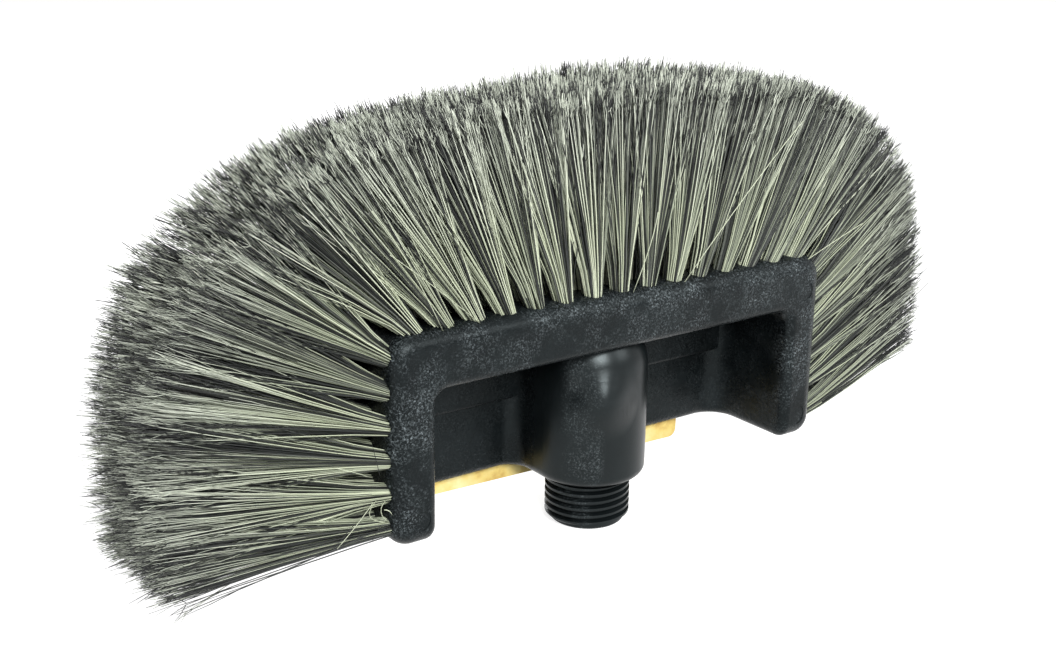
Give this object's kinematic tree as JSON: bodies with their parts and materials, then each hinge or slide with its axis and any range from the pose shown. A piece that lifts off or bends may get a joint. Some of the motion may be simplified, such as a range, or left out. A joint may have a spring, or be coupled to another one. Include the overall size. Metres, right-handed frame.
{
  "type": "flow-through wash brush head",
  "caption": "Bridge-shaped wash brush head with bristle tufts fanned over its top and both legs, screwed to a water-fed handle by a threaded nipple.",
  "frame": {"origin": "centre of the threaded nipple's free end", "axes": "+Z along the nipple's axis towards the bristle tips over the head, +X along the head, +Y from the open side of the head to its closed far side"},
  "size_m": [0.2398, 0.0318, 0.1088],
  "materials": {
    "head_plastic": "black moulded plastic, satin, with a fine cloudy speckle",
    "bristle": "mixed pale and near black filament, dull at the split tips",
    "anchor_wire": "flat galvanised wire",
    "strip_rubber": "matt, mottled yellow"
  },
  "bodies": {
    "root": {"head_block": "head_plastic", "bristle_top_row_1": "bristle", "bristle_top_row_2": "bristle", "bristle_top_row_3": "bristle", "bristle_top_row_4": "bristle", "bristle_left_row_1": "bristle", "bristle_left_row_2": "bristle", "bristle_left_row_3": "bristle", "bristle_left_row_4": "bristle", "bristle_right_row_1": "bristle", "bristle_right_row_2": "bristle", "bristle_right_row_3": "bristle", "bristle_right_row_4": "bristle", "anchors_top_row_1": "anchor_wire", "anchors_top_row_2": "anchor_wire", "anchors_top_row_3": "anchor_wire", "anchors_top_row_4": "anchor_wire", "anchors_left_row_1": "anchor_wire", "anchors_left_row_2": "anchor_wire", "anchors_left_row_3": "anchor_wire", "anchors_left_row_4": "anchor_wire", "anchors_right_row_1": "anchor_wire", "anchors_right_row_2": "anchor_wire", "anchors_right_row_3": "anchor_wire", "anchors_right_row_4": "anchor_wire", "rub_strip": "strip_rubber"}
  },
  "joints": []
}
